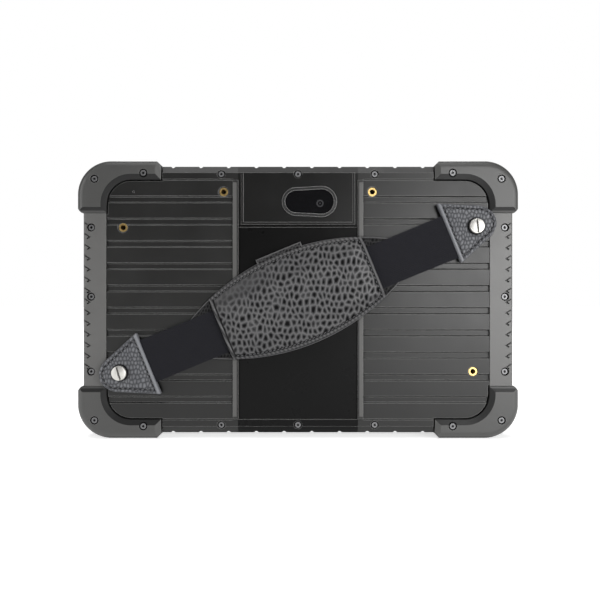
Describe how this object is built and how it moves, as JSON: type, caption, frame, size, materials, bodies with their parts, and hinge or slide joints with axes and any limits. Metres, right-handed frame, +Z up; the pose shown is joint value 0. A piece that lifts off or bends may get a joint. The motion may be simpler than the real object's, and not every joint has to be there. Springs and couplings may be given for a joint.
{
  "type": "data collector",
  "caption": "Rugged tablet data collector with rubber corner bumpers, rear camera, threaded inserts and a padded leather hand strap, standing upright on its lower bumpers.",
  "frame": {"origin": "centre of the overall box at the level that the lower bumpers stand on", "axes": "+Z up, +X to the right of someone looking at the back with its hand strap, screen faces +Y, back faces -Y"},
  "size_m": [0.286, 0.0325, 0.18],
  "materials": {
    "dark_shell": "fine textured black moulding",
    "mid_shell": "fine textured black moulding",
    "bumper_rubber": "matt dark grey moulded rubber",
    "rail_rubber": "matt dark grey moulded rubber",
    "seal_rubber": "soft black rubber",
    "black_steel": "black oxide steel",
    "insert_brass": "turned brass",
    "trim_metal": "dark anodised with a bright edge",
    "camera_glass": "black tinted glass",
    "screen_glass": "black bordered glass",
    "camera_black": "black barrel",
    "lamp_lens": "pale phosphor under a clear lens",
    "display": "dark display",
    "plate_alloy": "cast alloy",
    "board": "green circuit board",
    "shield_steel": "tinned can",
    "battery": "grey pouch cells in a wrap",
    "speaker": "black speaker box",
    "motor_steel": "steel can",
    "socket_steel": "plated shell",
    "key_rubber": "black rubber cap",
    "cover_rubber": "black rubber",
    "strap_leather": "pebbled black leather",
    "elastic": "woven blue-black elastic",
    "nickel": "nickel plated brass"
  },
  "bodies": {
    "tablet": {"rear_cover": "dark_shell", "front_housing": "mid_shell", "perimeter_seal": "seal_rubber", "chassis_plate": "plate_alloy", "corner_bumper_top_left": "bumper_rubber", "corner_bumper_top_right": "bumper_rubber", "corner_bumper_bottom_left": "bumper_rubber", "corner_bumper_bottom_right": "bumper_rubber", "side_rail_left": "rail_rubber", "side_rail_right": "rail_rubber", "case_screws": "black_steel", "bumper_screws": "black_steel", "threaded_inserts": "insert_brass", "camera_trim": "trim_metal", "camera_window": "camera_glass", "rear_camera_module": "camera_black", "flash_lamp": "lamp_lens", "cover_glass": "screen_glass", "display_panel": "display", "front_camera_module": "camera_black", "main_board": "board", "processor_shield": "shield_steel", "battery_pack": "battery", "antenna_board": "board", "vibration_motor": "motor_steel", "speaker_left": "speaker", "speaker_right": "speaker", "key_board": "board", "port_board": "board", "usb_socket": "socket_steel", "hdmi_socket": "socket_steel", "power_socket": "camera_black", "strap_tab_lower": "strap_leather", "strap_tab_upper": "strap_leather", "strap_screw_lower": "nickel", "strap_screw_upper": "nickel", "elastic_band": "elastic"},
    "power_key": {"power_key": "key_rubber"},
    "volume_up_key": {"volume_up_key": "key_rubber"},
    "volume_down_key": {"volume_down_key": "key_rubber"},
    "function_key": {"function_key": "key_rubber"},
    "port_cover": {"port_cover": "cover_rubber"},
    "hand_pad": {"hand_pad_base": "strap_leather", "hand_pad_sleeve": "strap_leather", "pad_closure_flap": "strap_leather"}
  },
  "joints": [
    {"name": "power_key_press", "type": "slide", "parent": "tablet", "child": "power_key", "axis": [0, -1, 0], "range_m": [0, 0.0005], "stiffness_N_per_m": 1500},
    {"name": "volume_up_key_press", "type": "slide", "parent": "tablet", "child": "volume_up_key", "axis": [0, -1, 0], "range_m": [0, 0.0005], "stiffness_N_per_m": 1500},
    {"name": "volume_down_key_press", "type": "slide", "parent": "tablet", "child": "volume_down_key", "axis": [0, -1, 0], "range_m": [0, 0.0005], "stiffness_N_per_m": 1500},
    {"name": "function_key_press", "type": "slide", "parent": "tablet", "child": "function_key", "axis": [0, -1, 0], "range_m": [0, 0.0005], "stiffness_N_per_m": 1500},
    {"name": "port_cover_hinge", "type": "hinge", "parent": "tablet", "child": "port_cover", "pos_m": [0.1378, 0.00745, 0.09126], "axis": [0, -1, 0], "range_deg": [0, 95]},
    {"name": "hand_pad_lift", "type": "slide", "parent": "tablet", "child": "hand_pad", "axis": [0, -1, 0], "range_m": [0, 0.03], "stiffness_N_per_m": 150, "deforming": ["elastic_band"]}
  ]
}
